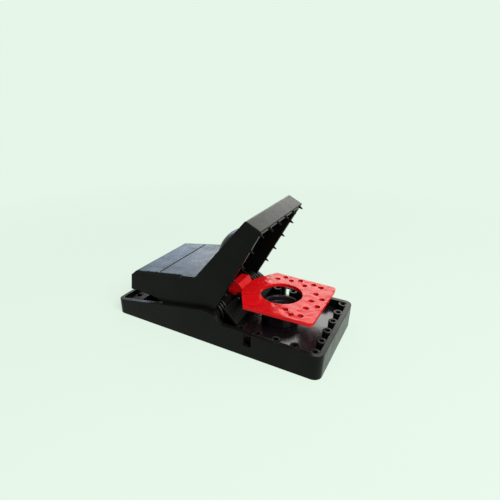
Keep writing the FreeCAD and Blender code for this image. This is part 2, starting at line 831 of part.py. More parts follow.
def perforation_places(hole_x, front, half):
    """Places of the small holes: three rows at the front, and a few beside the large hole."""
    pitch = size("perforation_pitch")
    margin = size("perforation_margin")
    first_row, row_gap = pitch * 0.37, pitch * 0.55
    side_y = half - margin
    places = [(front - first_row, side * pitch / 2) for side in (-1, 1)]
    places += [(front - first_row - row_gap, pitch * step) for step in (-2, -1, 0, 1, 2)]
    places += [(front - first_row - 2 * row_gap, side * (side_y - pitch * 0.16)) for side in (-1, 1)]
    # Beside the large hole: pitches ahead of its middle, and pitches in from the side row
    beside_both = [(0.97, 0.56)]
    beside_far = [(0.49, 0.0), (-0.08, 0.3), (-0.63, 0.0), (-1.02, 0.46)]
    places += [(hole_x + pitch * ahead, side * (side_y - pitch * inward))
               for ahead, inward in beside_both for side in (-1, 1)]
    places += [(hole_x + pitch * ahead, side_y - pitch * inward) for ahead, inward in beside_far]
    return places


def make_bait_cup():
    """Cup pushed up from below: a flanged sleeve with the bait well at its top."""
    body = new_body("bait_cup")
    outer = size("cup_radius")
    inner = outer - size("cup_wall")
    plate = size("cup_wall") * 1.5
    lift = size("side_gap") / 2
    middle = as_size(0)
    flare = size("cup_rim_flare")
    over = size("cup_top") + PAST
    turn(body, "Revolution", "cup_body", [
        (middle, lift), (size("cup_flange_radius"), lift),
        (size("cup_flange_radius"), lift + size("cup_flange_plate")),
        (outer, lift + size("cup_flange_plate")), (outer, size("cup_top")),
        (middle, size("cup_top"))], size("cup_x"))
    turn(body, "Groove", "bait_well", [
        (middle, size("cup_well_floor")), (inner, size("cup_well_floor"), size("cup_wall")),
        (inner, size("cup_top") - 2 * flare), (inner + flare, size("cup_top")),
        (inner + flare, over), (middle, over)], size("cup_x"))
    turn(body, "Groove", "cup_underside", [
        (middle, as_size(0)), (inner, as_size(0)),
        (inner, size("cup_well_floor") - plate, size("cup_wall")),
        (middle, size("cup_well_floor") - plate)], size("cup_x"))
    half_grip = size("cup_grip_width") / 2
    rooted = size("cup_wall") / 4
    plan_feature(body, "Pad", "cup_grip", rectangle(
        size("cup_x") - inner - rooted, -half_grip, size("cup_x") + inner + rooted, half_grip),
        lift, lift + size("cup_grip_height"))
    return body


def make_rod(name, x, z, radius, length):
    """Steel rod along Y with chamfered ends."""
    body = new_body(name)
    rod = cross_bar(body, "Pad", name + "_rod", x, z, radius, length)
    ends = ["Edge%d" % index for index, edge in enumerate(rod.Shape.Edges, start=1)
            if edge.Curve.TypeId == "Part::GeomCircle"]
    before = body.Shape.Volume
    chamfer = body.newObject("PartDesign::Chamfer", name + "_ends")
    chamfer.Base = (rod, ends)
    chamfer.Size = (radius / 5).value
    chamfer.setExpression("Size", (radius / 5).text)
    body.Tip = chamfer
    doc.recompute()
    check_change(chamfer, before, False)
    return body


# Springs

def biarc(start, start_way, finish, finish_way):
    """Two arcs that leave start along its way and reach finish along its way."""
    gap = finish - start
    ways = start_way + finish_way
    bend = 2 * (1 - start_way.dot(finish_way))
    across = gap.dot(ways)
    reach = (math.sqrt(across ** 2 + bend * gap.dot(gap)) - across) / bend
    first_knee = start + start_way * reach
    second_knee = finish - finish_way * reach
    joint = (first_knee + second_knee) / 2
    return [knee_arc(start, first_knee, joint), knee_arc(joint, second_knee, finish)]


def knee_arc(start, knee, finish):
    """The arc from start to finish that is tangent to the lines through the knee."""
    middle = (start + finish) / 2
    half = (finish - start).Length / 2
    side = (knee - start).Length
    lift = (knee - middle).Length
    radius = side * half / lift
    rise = radius - math.sqrt(radius ** 2 - half ** 2)
    crown = middle + (knee - middle).normalize() * rise
    return Part.Arc(start, crown, finish).toShape()


def tangent_angle(point, centre, radius, upper):
    """Angle at which a line from a point to the rear touches the coil."""
    away = math.atan2(point.z - centre.z, point.x - centre.x)
    opening = math.acos(radius / math.hypot(point.x - centre.x, point.z - centre.z))
    return away - opening if upper else away + opening


def make_spring(name, side):
    """Torsion spring: a leg on the tray floor, the coils, and a leg under the lever's roof."""
    wire = SIZES["spring_wire"] / 2
    radius = SIZES["spring_coil_radius"]
    gap = SIZES["side_gap"]
    centre = FreeCAD.Vector(SIZES["axle_x"], 0, SIZES["axle_height"])
    outer_y = jaw_inner_width.value / 2 - gap - wire
    reach_x = SIZES["axle_x"] - SIZES["spring_leg_reach"]
    floor_end = FreeCAD.Vector(reach_x, 0, SIZES["tray_floor"] + wire + gap / 2)
    roof_z = lever_top(as_size(reach_x)).value - SIZES["jaw_wall"] * UPRIGHT
    roof_end = FreeCAD.Vector(reach_x, 0, roof_z - wire - gap / 2)
    low = tangent_angle(floor_end, centre, radius, False)
    high = tangent_angle(roof_end, centre, radius, True)
    low = low - 2 * math.pi if low > 0 else low
    whole_turns = 2
    sweep = (high - low) % (2 * math.pi) + 2 * math.pi * whole_turns
    climb = SIZES["spring_pitch"] / (2 * math.pi)

    def at(turned):
        angle = low + turned
        return FreeCAD.Vector(centre.x + radius * math.cos(angle), side * (outer_y - climb * turned),
                              centre.z + radius * math.sin(angle))

    def way(turned):
        angle = low + turned
        lead = -side * climb if 0 < turned < sweep else 0
        return FreeCAD.Vector(-radius * math.sin(angle), lead,
                              radius * math.cos(angle)).normalize()

    steps = math.ceil(sweep / (math.pi / 2))
    angles = [sweep * i / steps for i in range(steps + 1)]
    edges = []
    for first, second in zip(angles, angles[1:]):
        edges += biarc(at(first), way(first), at(second), way(second))
    start_leg = math.hypot(at(0).x - floor_end.x, at(0).z - floor_end.z)
    finish_leg = math.hypot(at(sweep).x - roof_end.x, at(sweep).z - roof_end.z)
    first_point = at(0) - way(0) * start_leg
    last_point = at(sweep) + way(sweep) * finish_leg
    edges.insert(0, Part.LineSegment(first_point, at(0)).toShape())
    edges.append(Part.LineSegment(at(sweep), last_point).toShape())
    path = Part.Wire(edges)
    section = Part.Wire(Part.Circle(first_point, way(0), wire).toShape())
    tube = path.makePipeShell([section], True, False)
    spring = doc.addObject("Part::Feature", name)
    spring.Label = name
    spring.Shape = tube
    expected = math.pi * wire ** 2 * path.Length
    print("%s: %.2f turns, volume %.1f of %.1f, least gap between turns %.2f mm"
          % (name, sweep / (2 * math.pi), tube.Volume, expected, turn_gap(path, wire)))
    return spring


def turn_gap(path, wire):
    """Least distance between the surfaces of neighbouring turns, measured on points."""
    points = path.discretize(Distance=0.5)
    skip = int(12 / 0.5)
    least = min((points[i] - points[j]).Length
                for i in range(len(points)) for j in range(i + skip, len(points)))
    return least - 2 * wire


# Build, check and write

def check_document():
    """Stops if any object of the document has failed."""
    for item in doc.Objects:
        if "Invalid" in item.State or "Error" in item.State:
            raise RuntimeError("%s is in state %s" % (item.Name, item.State))


def write_piece(piece):
    """Checks one piece and writes its file."""
    shape = piece.Shape
    if shape.isNull() or not shape.isValid():
        raise RuntimeError("%s has no valid shape" % piece.Label)
    box = shape.BoundBox
    print("%-14s solids %d volume %9.2f box %7.2f %7.2f %7.2f to %7.2f %7.2f %7.2f" % (
        piece.Label, len(shape.Solids), shape.Volume,
        box.XMin, box.YMin, box.ZMin, box.XMax, box.YMax, box.ZMax))
    shape.exportStep("parts/%s.step" % piece.Label)


pieces = [
    make_base_tray(),
    make_jaw_lever(),
    make_trigger_pedal(),
    make_bait_cup(),
    make_rod("main_axle", axle_x, axle_z, size("axle_radius"),
             2 * (inner_half_width + size("axle_bore_depth") - size("running_fit"))),
    make_rod("trigger_pin", pivot_x, pivot_z, size("pin_radius"), size("pin_length")),
    make_spring("spring_near", -1),
    make_spring("spring_far", 1),
]
doc.recompute()
check_document()
os.makedirs("parts", exist_ok=True)
for piece in pieces:
    write_piece(piece)
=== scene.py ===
"""Looks of a snap mouse trap: moulded plastics, a raised deck with its bait cup, steel rods, wound
springs, and a plain studio.

Metres. +X points to the pedal end, -Y is the near side, +Z is up.
"""
import math

import bmesh
import bpy
from bpy.props import FloatProperty, FloatVectorProperty, IntProperty, PointerProperty, StringProperty
from mathutils import Matrix, Vector


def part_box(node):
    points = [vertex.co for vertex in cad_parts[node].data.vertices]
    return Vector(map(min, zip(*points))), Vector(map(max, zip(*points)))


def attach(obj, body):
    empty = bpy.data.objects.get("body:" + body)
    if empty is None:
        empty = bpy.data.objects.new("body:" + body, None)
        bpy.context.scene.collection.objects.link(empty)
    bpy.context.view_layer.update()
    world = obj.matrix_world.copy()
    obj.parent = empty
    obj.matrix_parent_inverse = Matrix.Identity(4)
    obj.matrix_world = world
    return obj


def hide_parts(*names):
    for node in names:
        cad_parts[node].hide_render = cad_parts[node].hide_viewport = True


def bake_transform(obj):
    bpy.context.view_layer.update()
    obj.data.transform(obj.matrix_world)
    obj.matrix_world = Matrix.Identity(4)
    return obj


bl_info = {
    "name": "Snap Mouse Trap",
    "version": (1, 0, 0),
    "blender": (4, 5, 0),
    "location": "View3D > Sidebar > Mouse Trap",
    "description": "Finishes the parts of a snap mouse trap and sets up a plain studio",
    "category": "Add Mesh",
}

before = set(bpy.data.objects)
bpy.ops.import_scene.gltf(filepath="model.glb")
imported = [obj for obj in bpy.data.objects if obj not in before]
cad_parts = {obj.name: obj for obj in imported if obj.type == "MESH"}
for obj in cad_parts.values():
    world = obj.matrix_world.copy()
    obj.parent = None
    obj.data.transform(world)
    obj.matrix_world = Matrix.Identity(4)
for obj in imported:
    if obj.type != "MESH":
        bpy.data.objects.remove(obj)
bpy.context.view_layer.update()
MM = 0.001

# Spacing of the slow patterns in the moulded plastics
PIGMENT_DRIFTS = 14 * MM
HANDLING_SMEARS = 5 * MM
SINK_MARKS = 5 * MM

# Spacing of the lines that drawing leaves along steel, and how much longer than wide they are.
# Real ones are finer than 0.1 mm, and are drawn at 0.25 mm so that they show.
DRAW_LINES = 0.25 * MM
DRAW_LINE_STRETCH = (1.0, 0.04, 1.0)
DRAW_LINE_DEPTH = 0.01 * MM

# Points along a spring's wire and round it, and the girth that its draw lines are laid on
WIRE_POINTS = 340
WIRE_SIDES = 20
WIRE_GIRTH = 4 * MM

# Faces round the bait cup and the deck's hole
ROUND_FACES = 96

# Sockets of a Mix node in its colour mode
MIX_FIRST = 6
MIX_SECOND = 7
MIX_RESULT = 2

# Where the lamps point
TRAP_MIDDLE = (0, 0, 0.02)


# Settings

class PlasticSettings(bpy.types.PropertyGroup):
    """Colours and gloss of the moulded parts."""
    black: StringProperty(
        name="Black", description="Colour of the black ABS, as an sRGB hex value", default="#0A0A09")
    black_bloom: StringProperty(
        name="Black bloom", description="Paler tone of the black ABS where pigment and dust bloom",
        default="#10100F")
    # Both deck tones are black with a purplish tint. The tint is a painted reflection of the red pedal's
    # underside, and the bait cup uses these tones too.
    deck_black_with_painted_red_reflection: StringProperty(
        name="Deck black", description="Warmer black of the polished deck", default="#130D10")
    deck_bloom_with_painted_red_reflection: StringProperty(
        name="Deck bloom", description="Paler tone of the polished deck", default="#181014")
    red: StringProperty(
        name="Red", description="Colour of the pedal, as an sRGB hex value", default="#C21015")
    red_deep: StringProperty(
        name="Deep red", description="Darker streaks in the pedal's red", default="#B40D12")
    edge_radius: FloatProperty(
        name="Edge radius", description="Rounding that the mould leaves along every edge",
        default=0.22 * MM, unit="LENGTH")
    rim_radius: FloatProperty(
        name="Rim radius", description="Softer rounding along the tray's edges", default=0.4 * MM,
        unit="LENGTH")
    jaw_edge_radius: FloatProperty(
        name="Jaw edge radius", description="Rounding along the jaw's edges", default=0.9 * MM,
        unit="LENGTH")
    tray_roughness: FloatProperty(
        name="Tray roughness", description="Roughness of the satin tray", default=0.24, subtype="FACTOR")
    jaw_roughness: FloatProperty(
        name="Jaw roughness", description="Roughness of the semi-gloss jaw", default=0.3,
        subtype="FACTOR")
    deck_roughness: FloatProperty(
        name="Deck roughness", description="Roughness of the polished deck", default=0.2,
        subtype="FACTOR")
    deck_specular: FloatProperty(
        name="Deck specular level", description="Strength of the deck's reflections", default=0.38,
        subtype="FACTOR")
    pedal_roughness: FloatProperty(
        name="Pedal roughness", description="Roughness of the red pedal and the bait cup", default=0.2,
        subtype="FACTOR")
    specular: FloatProperty(
        name="Specular level", description="Strength of the tray's reflections, which the jaw's, the "
        "pedal's and the cup's follow", default=0.085, subtype="FACTOR")


class SpringSettings(bpy.types.PropertyGroup):
    """Sizes of the two torsion springs, and the colours of their steel and of the rods'."""
    wire_colour: StringProperty(
        name="Wire colour", description="Colour of the spring wire, as an sRGB hex value",
        default="#262523")
    rod_colour: StringProperty(
        name="Rod colour", description="Colour of the axle and the pin, as an sRGB hex value",
        default="#B9B8B4")
    wire_radius: FloatProperty(
        name="Wire radius", description="Half the thickness of the spring wire", default=0.6 * MM,
        unit="LENGTH")
    coil_radius: FloatProperty(
        name="Coil radius", description="From the axle to the middle of the wire", default=5.1 * MM,
        unit="LENGTH")
    pitch: FloatProperty(
        name="Pitch", description="Distance between neighbouring turns", default=1.74 * MM, unit="LENGTH")
    axle_x: FloatProperty(
        name="Axle X", description="Place of the axle along the tray", default=0.5 * MM, unit="LENGTH")
    axle_z: FloatProperty(
        name="Axle height", description="Height of the axle over the floor", default=11.4 * MM,
        unit="LENGTH")
    outer_y: FloatProperty(
        name="Outer leg", description="Distance of the outer leg from the middle of the trap",
        default=17.6 * MM, unit="LENGTH")
    leg_end_x: FloatProperty(
        name="Leg ends", description="Where both legs end, behind the axle", default=-15.0 * MM,
        unit="LENGTH")
    floor_leg_z: FloatProperty(
        name="Floor leg height", description="Height of the end that stands on the tray floor",
        default=2.75 * MM, unit="LENGTH")
    roof_leg_z: FloatProperty(
        name="Roof leg height", description="Height of the end that lifts the lever's roof",
        default=23.9394 * MM, unit="LENGTH")
    whole_turns: IntProperty(
        name="Whole turns", description="Whole turns before the upper leg leaves the coil", default=2)


class DeckSettings(bpy.types.PropertyGroup):
    """Sizes of the bait cup and of the raised deck that it stands in."""
    cup_radius: FloatProperty(
        name="Cup radius", description="Outer radius of the bait cup", default=7.9 * MM, unit="LENGTH")
    cup_wall: FloatProperty(
        name="Cup wall", description="Thickness of the bait cup's wall", default=1.3 * MM, unit="LENGTH")
    cup_top: FloatProperty(
        name="Cup top", description="Height of the bait cup's rim", default=14.0 * MM, unit="LENGTH")
    well_depth: FloatProperty(
        name="Well depth", description="Depth of the well that holds the bait", default=2.4 * MM,
        unit="LENGTH")
    deck_top: FloatProperty(
        name="Deck top", description="Height of the raised deck under the pedal", default=7.0 * MM,
        unit="LENGTH")
    deck_plate: FloatProperty(
        name="Deck plate", description="Thickness of the deck", default=1.2 * MM, unit="LENGTH")
    deck_rear: FloatProperty(
        name="Deck rear", description="Where the deck starts, in front of the spring guard",
        default=12.5 * MM, unit="LENGTH")
    deck_front: FloatProperty(
        name="Deck front", description="Where the deck meets the front wall", default=47.2 * MM,
        unit="LENGTH")
    deck_side: FloatProperty(
        name="Deck side", description="Distance of the deck's sides from the middle of the trap",
        default=20.7 * MM, unit="LENGTH")
    deck_gap: FloatProperty(
        name="Deck gap", description="Gap round the cup", default=0.25 * MM, unit="LENGTH")


class StudioSettings(bpy.types.PropertyGroup):
    """Camera, lamps and backdrop."""
    backdrop: StringProperty(
        name="Backdrop", description="Pale colour of floor and backdrop", default="#E6F6E8")
    board_share: FloatProperty(
        name="Board share", description="Darkens the lit board to match its glow", default=0.72)
    lens: FloatProperty(
        name="Lens", description="Focal length in millimetres on a 36 mm sensor", default=27.33)
    camera_place: FloatVectorProperty(
        name="Camera", description="Place of the camera", default=(0.073252, -0.130879, 0.096777),
        subtype="TRANSLATION")
    azimuth: FloatProperty(
        name="Azimuth", description="Turn of the camera about the upright, in degrees", default=30.248)
    elevation: FloatProperty(
        name="Elevation", description="Height angle of the camera, in degrees", default=25.796)
    roll: FloatProperty(
        name="Roll", description="Tilt of the picture, in degrees", default=-0.319)
    fill: FloatProperty(
        name="Fill", description="Strength of the even light from all round", default=0.42)


# Materials

def linear(hex_colour):
    """An sRGB hex value as linear RGBA, by the standard transfer curve."""
    digits = hex_colour.lstrip("#")
    channels = [int(digits[start:start + 2], 16) / 255 for start in (0, 2, 4)]
    straight = [c / 12.92 if c <= 0.04045 else ((c + 0.055) / 1.055) ** 2.4 for c in channels]
    return (*straight, 1.0)


def add_node(tree, kind, inputs=None, **settings):
    """Adds a node, sets its properties, and fills or links its inputs by name or number."""
    node = tree.nodes.new(kind)
    for name, value in settings.items():
        setattr(node, name, value)
    for name, value in (inputs or {}).items():
        if isinstance(value, bpy.types.NodeSocket):
            tree.links.new(value, node.inputs[name])
        else:
            node.inputs[name].default_value = value
    return node


def start_material(name):
    """An empty node material with its output and the place of each point on the piece."""
    material = bpy.data.materials.new(name)
    material.use_nodes = True
    tree = material.node_tree
    tree.nodes.clear()
    output = add_node(tree, "ShaderNodeOutputMaterial")
    place = add_node(tree, "ShaderNodeTexCoord").outputs["Object"]
    return material, tree, output, place


def moulded_plastic(name, colour, second_colour, roughness, specular, grain, grain_depth, sink_depth,
                    edge_radius, glow_through=0.0):
    """Injection-moulded plastic: slow drifts of colour and gloss, a fine mould grain, rounded edges,
    shallow sink marks that bend the reflections on broad faces, and light that seeps through."""
    material, tree, output, place = start_material(name)
    drift = add_node(tree, "ShaderNodeTexNoise", {
        "Vector": place, "Scale": 1 / PIGMENT_DRIFTS, "Detail": 3.0, "Roughness": 0.6}).outputs["Fac"]
    second_share = add_node(tree, "ShaderNodeMapRange", {
        "Value": drift, "From Min": 0.35, "From Max": 0.7}).outputs["Result"]
    colours = add_node(tree, "ShaderNodeMix", {
        "Factor": second_share, MIX_FIRST: linear(colour), MIX_SECOND: linear(second_colour)},
        data_type="RGBA")
    smears = add_node(tree, "ShaderNodeTexNoise", {
        "Vector": place, "Scale": 1 / HANDLING_SMEARS, "Detail": 4.0, "Roughness": 0.7}).outputs["Fac"]
    shinier = roughness - 0.05
    duller = roughness + 0.07
    gloss = add_node(tree, "ShaderNodeMapRange", {
        "Value": smears, "From Min": 0.3, "From Max": 0.7, "To Min": shinier, "To Max": duller})
    grains = add_node(tree, "ShaderNodeTexNoise", {
        "Vector": place, "Scale": 1 / grain, "Detail": 2.0}).outputs["Fac"]
    edge = add_node(tree, "ShaderNodeBevel", {"Radius": edge_radius}, samples=12)
    sinks = add_node(tree, "ShaderNodeTexNoise", {
        "Vector": place, "Scale": 1 / SINK_MARKS, "Detail": 1.0, "Distortion": 0.6}).outputs["Fac"]
    wavy = add_node(tree, "ShaderNodeBump", {
        "Height": sinks, "Strength": 1.0, "Distance": sink_depth, "Normal": edge.outputs["Normal"]})
    bump = add_node(tree, "ShaderNodeBump", {
        "Height": grains, "Strength": 1.0, "Distance": grain_depth, "Normal": wavy.outputs["Normal"]})
    # Of the light that seeps through, red travels farthest inside the dyed plastic.
    shader = add_node(tree, "ShaderNodeBsdfPrincipled", {
        "Base Color": colours.outputs[MIX_RESULT], "Roughness": gloss.outputs["Result"],
        "Specular IOR Level": specular, "Subsurface Weight": glow_through,
        "Subsurface Radius": (1.0, 0.15, 0.2), "Subsurface Scale": 1.5 * MM,
        "Normal": bump.outputs["Normal"]})
    tree.links.new(shader.outputs["BSDF"], output.inputs["Surface"])
    return material


def drawn_steel(name, colour, roughness, follows_wire):
    """Cold-drawn steel: a bright metal with fine lines along a straight rod, or along a wound wire."""
    material, tree, output, place = start_material(name)
    if follows_wire:
        length = add_node(tree, "ShaderNodeAttribute", attribute_name="wire_length").outputs["Fac"]
        turn = add_node(tree, "ShaderNodeAttribute", attribute_name="wire_turn").outputs["Fac"]
        place = add_node(tree, "ShaderNodeCombineXYZ", {"X": turn, "Y": length}).outputs["Vector"]
    stretched = add_node(tree, "ShaderNodeMapping", {"Vector": place, "Scale": DRAW_LINE_STRETCH})
    lines = add_node(tree, "ShaderNodeTexNoise", {
        "Vector": stretched.outputs["Vector"], "Scale": 1 / DRAW_LINES, "Detail": 3.0}).outputs["Fac"]
    shinier = roughness - 0.06
    duller = roughness + 0.12
    gloss = add_node(tree, "ShaderNodeMapRange", {
        "Value": lines, "From Min": 0.3, "From Max": 0.7, "To Min": shinier, "To Max": duller})
    bump = add_node(tree, "ShaderNodeBump", {
        "Height": lines, "Strength": 1.0, "Distance": DRAW_LINE_DEPTH})
    shader = add_node(tree, "ShaderNodeBsdfPrincipled", {
        "Base Color": linear(colour), "Metallic": 1.0, "Roughness": gloss.outputs["Result"],
        "Normal": bump.outputs["Normal"]})
    tree.links.new(shader.outputs["BSDF"], output.inputs["Surface"])
    return material


def finish_node(node, material):
    """Gives a carried-over part its material."""
    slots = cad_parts[node].data.materials
    if not slots:
        slots.append(material)
    for index in range(len(slots)):
        slots[index] = material


# Springs

def spring_tree():
    """Geometry nodes that wind one torsion spring: a straight leg, the coil, and a straight leg."""
    tree = bpy.data.node_groups.new("wound_spring", "GeometryNodeTree")
    tree.is_modifier = True
    tree.interface.new_socket("Geometry", in_out="INPUT", socket_type="NodeSocketGeometry")
    for name in ("Wire Radius", "Coil Radius", "Pitch", "Start Angle", "Sweep", "Start Leg", "Finish Leg",
                 "Outer Y", "Side", "Centre X", "Centre Z"):
        tree.interface.new_socket(name, in_out="INPUT", socket_type="NodeSocketFloat")
    tree.interface.new_socket("Material", in_out="INPUT", socket_type="NodeSocketMaterial")
    tree.interface.new_socket("Geometry", in_out="OUTPUT", socket_type="NodeSocketGeometry")
    given = add_node(tree, "NodeGroupInput").outputs
    result = add_node(tree, "NodeGroupOutput")
    # Any line will do, as each of its points is then set to its place along the wire.
    line = add_node(tree, "GeometryNodeCurvePrimitiveLine", {"End": (0.0, 0.0, 0.1)})
    points = add_node(tree, "GeometryNodeResampleCurve", {
        "Curve": line.outputs["Curve"], "Count": WIRE_POINTS})
    # Each row makes one value out of earlier ones. A point still on the first leg has turned by
    # nothing, and one on the last leg by the whole sweep; what is left of its way is straight.
    values = {socket.name: socket for socket in given}
    values["Share"] = add_node(tree, "GeometryNodeSplineParameter").outputs["Factor"]
    for name, operation, first, second in (
            ("Coil Length", "MULTIPLY", "Coil Radius", "Sweep"),
            ("Leg And Coil", "ADD", "Start Leg", "Coil Length"),
            ("Wire Length", "ADD", "Leg And Coil", "Finish Leg"),
            ("Travelled", "MULTIPLY", "Share", "Wire Length"),
            ("Past Leg", "SUBTRACT", "Travelled", "Start Leg"),
            ("Free Turn", "DIVIDE", "Past Leg", "Coil Radius"),
            ("Begun Turn", "MAXIMUM", "Free Turn", 0.0),
            ("Turned", "MINIMUM", "Begun Turn", "Sweep"),
            ("On Coil", "MULTIPLY", "Turned", "Coil Radius"),
            ("Straight", "SUBTRACT", "Past Leg", "On Coil"),
            ("Angle", "ADD", "Start Angle", "Turned"),
            ("Sine", "SINE", "Angle", 0.0),
            ("Cosine", "COSINE", "Angle", 0.0),
            ("Coil X", "MULTIPLY", "Coil Radius", "Cosine"),
            ("Straight X", "MULTIPLY", "Straight", "Sine"),
            ("Reach X", "SUBTRACT", "Coil X", "Straight X"),
            ("X", "ADD", "Centre X", "Reach X"),
            ("Coil Z", "MULTIPLY", "Coil Radius", "Sine"),
            ("Straight Z", "MULTIPLY", "Straight", "Cosine"),
            ("Reach Z", "ADD", "Coil Z", "Straight Z"),
            ("Z", "ADD", "Centre Z", "Reach Z"),
            ("Turns", "DIVIDE", "Turned", math.tau),
            ("Climb", "MULTIPLY", "Pitch", "Turns"),
            ("Inwards", "SUBTRACT", "Outer Y", "Climb"),
            ("Y", "MULTIPLY", "Side", "Inwards"),
            ("Round Wire", "MULTIPLY", "Share", WIRE_GIRTH)):
        values[name] = add_node(tree, "ShaderNodeMath", {
            0: values[first], 1: values.get(second, second)}, operation=operation).outputs[0]
    place = add_node(tree, "ShaderNodeCombineXYZ", {
        "X": values["X"], "Y": values["Y"], "Z": values["Z"]})
    bent = add_node(tree, "GeometryNodeSetPosition", {
        "Geometry": points.outputs["Curve"], "Position": place.outputs["Vector"]})
    marked = add_node(tree, "GeometryNodeStoreNamedAttribute", {
        "Geometry": bent.outputs["Geometry"], "Name": "wire_length", "Value": values["Travelled"]},
        data_type="FLOAT", domain="POINT")
    ring = add_node(tree, "GeometryNodeCurvePrimitiveCircle", {
        "Resolution": WIRE_SIDES, "Radius": given["Wire Radius"]})
    ring_turn = add_node(tree, "GeometryNodeStoreNamedAttribute", {
        "Geometry": ring.outputs["Curve"], "Name": "wire_turn", "Value": values["Round Wire"]},
        data_type="FLOAT", domain="POINT")
    tube = add_node(tree, "GeometryNodeCurveToMesh", {
        "Curve": marked.outputs["Geometry"], "Profile Curve": ring_turn.outputs["Geometry"],
        "Fill Caps": True})
    solid = add_node(tree, "GeometryNodeRealizeInstances", {"Geometry": tube.outputs["Mesh"]})
    painted = add_node(tree, "GeometryNodeSetMaterial", {
        "Geometry": solid.outputs["Geometry"], "Material": given["Material"]})
    tree.links.new(painted.outputs["Geometry"], result.inputs["Geometry"])
    return tree


def touch_angle(end_x, end_z, centre_x, centre_z, radius, upper):
    """Angle at which a straight leg to the given end touches the coil, on its upper or lower side."""
    away = math.atan2(end_z - centre_z, end_x - centre_x)
    opening = math.acos(radius / math.hypot(end_x - centre_x, end_z - centre_z))
    return away - opening if upper else away + opening


def apply_tree(piece, tree, values):
    """Runs the nodes on a piece, keeps the result as its plain mesh, and removes the modifier."""
    modifier = piece.modifiers.new(tree.name, "NODES")
    modifier.node_group = tree
    for item in tree.interface.items_tree:
        if item.in_out == "INPUT" and item.name in values:
            modifier[item.identifier] = values[item.name]
    bpy.context.view_layer.update()
    evaluated = piece.evaluated_get(bpy.context.evaluated_depsgraph_get())
    mesh = bpy.data.meshes.new_from_object(evaluated)
    piece.modifiers.clear()
    piece.data = mesh
    piece.data.name = piece.name


def wind_spring(name, side, tree, material):
    """One spring, with its outer leg down on the tray floor and its inner leg up at the lever's roof."""
    s = bpy.context.scene.trap_springs
    start_angle = touch_angle(s.leg_end_x, s.floor_leg_z, s.axle_x, s.axle_z, s.coil_radius, upper=False)
    finish_angle = touch_angle(s.leg_end_x, s.roof_leg_z, s.axle_x, s.axle_z, s.coil_radius, upper=True)
    if start_angle > 0:
        start_angle -= math.tau
    sweep = (finish_angle - start_angle) % math.tau + math.tau * s.whole_turns
    floor_leg, roof_leg = [
        math.sqrt((s.leg_end_x - s.axle_x) ** 2 + (z - s.axle_z) ** 2 - s.coil_radius ** 2)
        for z in (s.floor_leg_z, s.roof_leg_z)]
    piece = bpy.data.objects.new(name + "_wound", bpy.data.meshes.new(name + "_wound"))
    bpy.context.scene.collection.objects.link(piece)
    apply_tree(piece, tree, {
        "Wire Radius": s.wire_radius, "Coil Radius": s.coil_radius, "Pitch": s.pitch,
        "Start Angle": start_angle, "Sweep": sweep, "Start Leg": floor_leg, "Finish Leg": roof_leg,
        "Outer Y": s.outer_y, "Side": side, "Centre X": s.axle_x, "Centre Z": s.axle_z,
        "Material": material})
    piece.data.shade_smooth()
    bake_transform(piece)
    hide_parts(name)


# Bait cup and deck

def lathe(outline, centre_x):
    """Corners and faces of a closed outline of radii and heights, turned about an upright line."""
    corners = []
    rings = []
    for radius, height in outline:
        steps = range(ROUND_FACES if radius else 1)
        rings.append([len(corners) + step for step in steps])
        turns = [math.tau * step / ROUND_FACES for step in steps]
        corners += [(centre_x + radius * math.cos(turn), radius * math.sin(turn), height)
                    for turn in turns]
    faces = []
    for ring, next_ring in zip(rings, rings[1:] + rings[:1]):
        for step in range(ROUND_FACES):
            face = [ring[step % len(ring)], ring[(step + 1) % len(ring)],
                    next_ring[(step + 1) % len(next_ring)], next_ring[step % len(next_ring)]]
            # On the axis a ring is a single corner, so its faces are triangles.
            face = list(dict.fromkeys(face))
            if len(face) > 2:
                faces.append(face)
    return corners, faces


def low_cup(material):
    """The bait cup with a low rim: a shallow well on a hollow post, with a flange and a grip bar."""
    sizes = bpy.context.scene.trap_deck
    low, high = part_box("bait_cup")
    centre_x = (low[0] + high[0]) / 2
    foot = low[2]
    outer = sizes.cup_radius
    inner = sizes.cup_radius - sizes.cup_wall
    top = sizes.cup_top
    well = top - sizes.well_depth
    well_plate = 1.2 * MM
    under = well - well_plate
    flange_radius = (high[0] - low[0]) / 2
    flange_top = foot + 1.1 * MM
    soft = 0.3 * MM
    hollow = 0.8 * MM
    hollow_middle = 0.25 * MM
    corners, faces = lathe([
        (0, well), (inner - hollow, well), (inner - hollow_middle, well + hollow_middle),
        (inner, well + hollow), (inner, top - soft), (inner + soft / 2, top), (outer - soft, top),
        (outer, top - soft), (outer, flange_top), (flange_radius - soft, flange_top),
        (flange_radius, flange_top - soft), (flange_radius, foot), (inner, foot), (inner, under),
        (0, under),
    ], centre_x)
    mesh = bpy.data.meshes.new("bait_cup_low")
    mesh.from_pydata(corners, [], faces)
    shape = bmesh.new()
    shape.from_mesh(mesh)
    bar_length = 2 * (inner + sizes.cup_wall / 2)
    bar_width = 1.6 * MM
    bar_height = 3.0 * MM
    bar = bmesh.ops.create_cube(shape, size=1.0)["verts"]
    for vertex in bar:
        vertex.co = (centre_x + bar_length * vertex.co.x, bar_width * vertex.co.y,
                     foot + bar_height * (vertex.co.z + 0.5))
    bmesh.ops.recalc_face_normals(shape, faces=shape.faces)
    shape.to_mesh(mesh)
    shape.free()
    mesh.materials.append(material)
    mesh.shade_smooth()
    sharp_from = math.radians(35)
    mesh.set_sharp_from_angle(angle=sharp_from)
    piece = bpy.data.objects.new("bait_cup_low", mesh)
    bpy.context.scene.collection.objects.link(piece)
    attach(piece, "cup")
    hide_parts("bait_cup")


